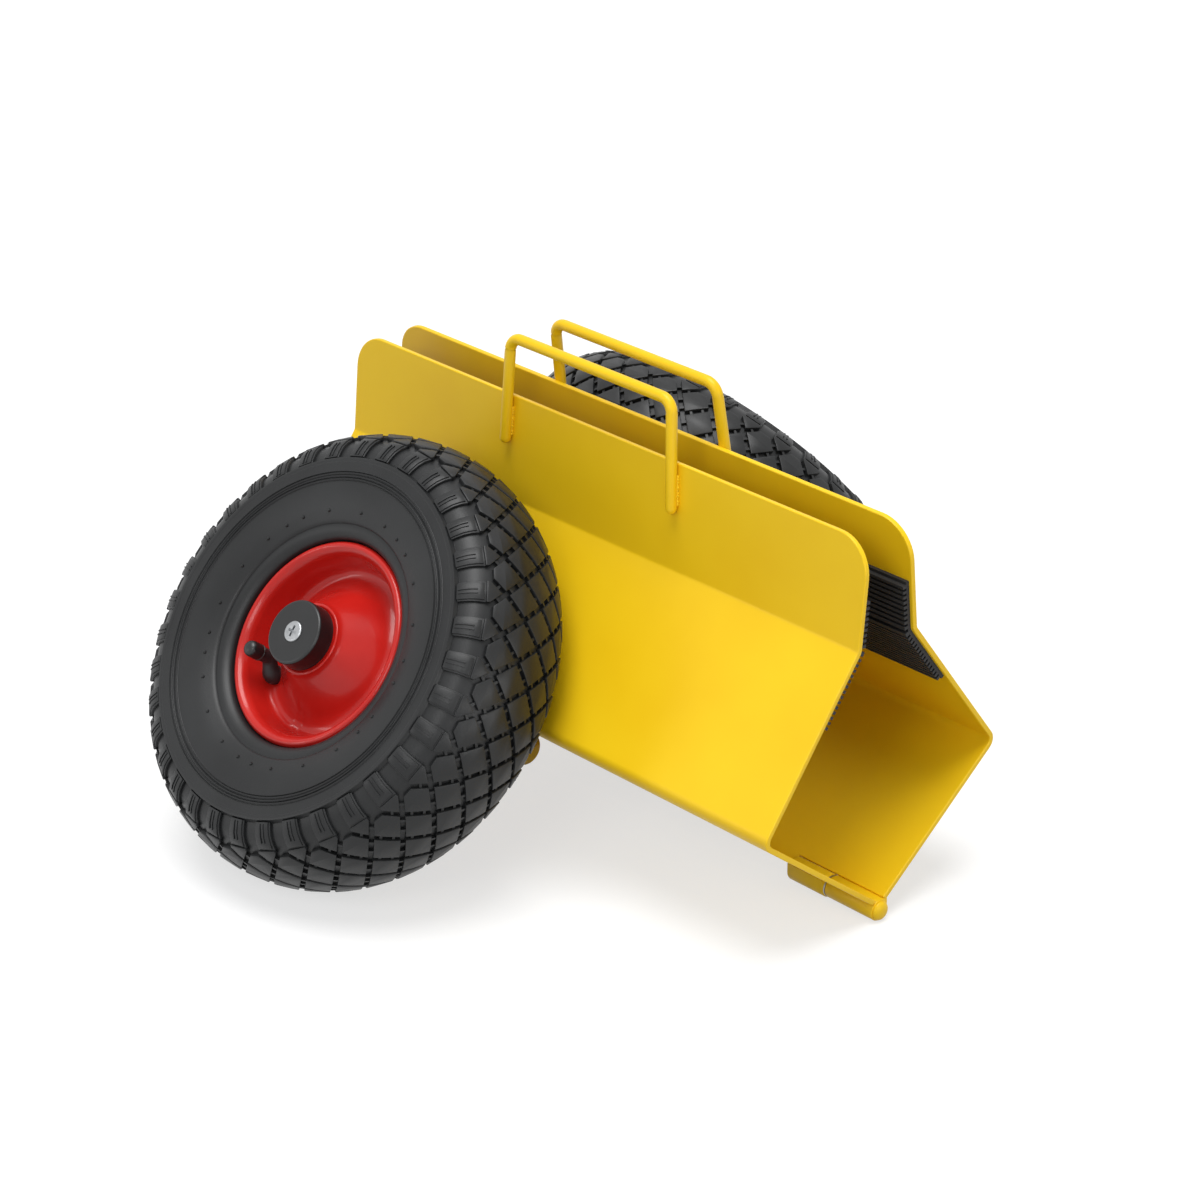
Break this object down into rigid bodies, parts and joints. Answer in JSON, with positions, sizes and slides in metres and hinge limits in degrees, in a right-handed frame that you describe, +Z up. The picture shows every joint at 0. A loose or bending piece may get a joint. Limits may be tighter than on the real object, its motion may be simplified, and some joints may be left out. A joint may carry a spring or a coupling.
{
  "type": "door dolly",
  "caption": "Low door dolly with hinged sheet-steel jaws on leaning pneumatic wheels. The weight of a door or board set between the jaws closes them on it. Bar handles on top.",
  "frame": {"origin": "on the ground under the middle of the dolly's bounding box, as it rests on its tyres and front hinge", "axes": "+X forward along the hinge, level, +Y to the left side, across the wheels, +Z up"},
  "size_m": [0.4216, 0.4778, 0.2773],
  "materials": {
    "yellow_paint": "gloss powder coat",
    "red_paint": "gloss paint",
    "pad_rubber": "matte",
    "tyre": "matte",
    "tube_rubber": "matte",
    "valve_rubber": "satin",
    "black_plastic": "satin",
    "zinc": "zinc plated",
    "bearing_steel": "ground"
  },
  "bodies": {
    "right_jaw": {"right_jaw_plate": "yellow_paint", "right_handle": "yellow_paint", "right_grip_pad": "pad_rubber", "right_axle": "yellow_paint", "right_axle_collar": "zinc", "right_bearing_inner_rings": "bearing_steel", "right_bearing_spacer": "zinc", "right_retaining_washer": "zinc", "right_hub_cap": "black_plastic", "right_retaining_screw": "zinc", "right_front_knuckle": "yellow_paint", "right_rear_knuckle": "yellow_paint", "front_hinge_pin": "yellow_paint", "rear_hinge_pin": "yellow_paint", "hinge_washers": "zinc"},
    "left_jaw": {"left_jaw_plate": "yellow_paint", "left_handle": "yellow_paint", "left_grip_pad": "pad_rubber", "left_axle": "yellow_paint", "left_axle_collar": "zinc", "left_bearing_inner_rings": "bearing_steel", "left_bearing_spacer": "zinc", "left_retaining_washer": "zinc", "left_hub_cap": "black_plastic", "left_retaining_screw": "zinc", "left_front_knuckle": "yellow_paint", "left_rear_knuckle": "yellow_paint"},
    "right_wheel": {"right_tyre": "tyre", "right_inner_tube": "tube_rubber", "right_rim_outer_disc": "red_paint", "right_rim_inner_disc": "red_paint", "right_rim_band": "red_paint", "right_hub": "red_paint", "right_bearing_outer_rings": "bearing_steel", "right_bearing_balls": "bearing_steel", "right_bearing_seals": "pad_rubber", "right_valve_stem": "valve_rubber", "right_valve_cap": "black_plastic"},
    "left_wheel": {"left_tyre": "tyre", "left_inner_tube": "tube_rubber", "left_rim_outer_disc": "red_paint", "left_rim_inner_disc": "red_paint", "left_rim_band": "red_paint", "left_hub": "red_paint", "left_bearing_outer_rings": "bearing_steel", "left_bearing_balls": "bearing_steel", "left_bearing_seals": "pad_rubber", "left_valve_stem": "valve_rubber", "left_valve_cap": "black_plastic"}
  },
  "joints": [
    {"name": "jaw_hinge", "type": "hinge", "parent": "right_jaw", "child": "left_jaw", "pos_m": [-0.00275, 0, 0.01524], "axis": [-0.999, 0, 0.0436], "range_deg": [0, 30]},
    {"name": "right_wheel_spin", "type": "hinge", "parent": "right_jaw", "child": "right_wheel", "pos_m": [-0.06746, -0.13711, 0.11496], "axis": [0.0272, -0.7826, 0.6219], "continuous": true},
    {"name": "left_wheel_spin", "type": "hinge", "parent": "left_jaw", "child": "left_wheel", "pos_m": [-0.06746, 0.13711, 0.11496], "axis": [0.0272, 0.7826, 0.6219], "continuous": true}
  ]
}
